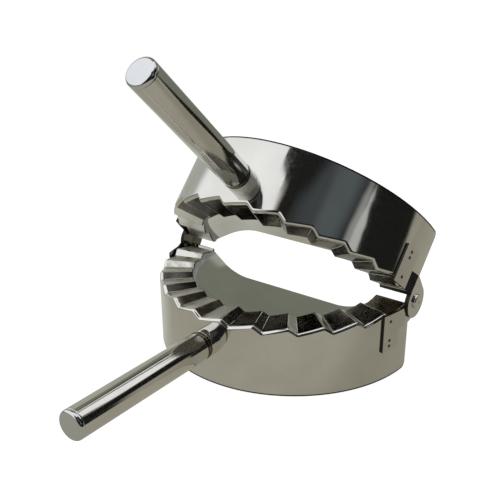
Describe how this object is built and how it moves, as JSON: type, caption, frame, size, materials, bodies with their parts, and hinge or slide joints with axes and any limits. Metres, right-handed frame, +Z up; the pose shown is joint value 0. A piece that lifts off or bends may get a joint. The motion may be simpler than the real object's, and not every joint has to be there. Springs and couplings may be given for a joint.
{
  "type": "empanada press",
  "caption": "Folding press for filled pastries, with half-ring cutting skirts, pleated flanges, dished bowls and tube handles, riveted together at both ends.",
  "frame": {"origin": "middle of the part's footprint, on the surface that the lower jaw's cutting edge stands on", "axes": "+Z up, handles towards -Y, hinge axis along X"},
  "size_m": [0.1002, 0.125, 0.1096],
  "materials": {
    "jaw_steel": "polished drawn sheet",
    "hinge_steel": "satin sheet",
    "handle_steel": "polished tube",
    "fastener_steel": "satin"
  },
  "bodies": {
    "lower_jaw": {"lower_jaw_shell": "jaw_steel", "lower_flat_leaf": "hinge_steel", "lower_joggled_leaf": "hinge_steel", "lower_handle_tube": "handle_steel", "lower_handle_cap": "handle_steel", "lower_handle_ferrule": "handle_steel", "lower_handle_washer": "fastener_steel", "lower_handle_screw": "fastener_steel", "right_hinge_rivet": "fastener_steel", "left_hinge_rivet": "fastener_steel"},
    "upper_jaw": {"upper_jaw_shell": "jaw_steel", "upper_flat_leaf": "hinge_steel", "upper_joggled_leaf": "hinge_steel", "upper_handle_tube": "handle_steel", "upper_handle_cap": "handle_steel", "upper_handle_ferrule": "handle_steel", "upper_handle_washer": "fastener_steel", "upper_handle_screw": "fastener_steel"}
  },
  "joints": [
    {"name": "jaw_hinge", "type": "hinge", "parent": "lower_jaw", "child": "upper_jaw", "pos_m": [0, 0.04752, 0.0247], "axis": [-1, 0, 0], "range_deg": [-43.35, 136.65]}
  ]
}
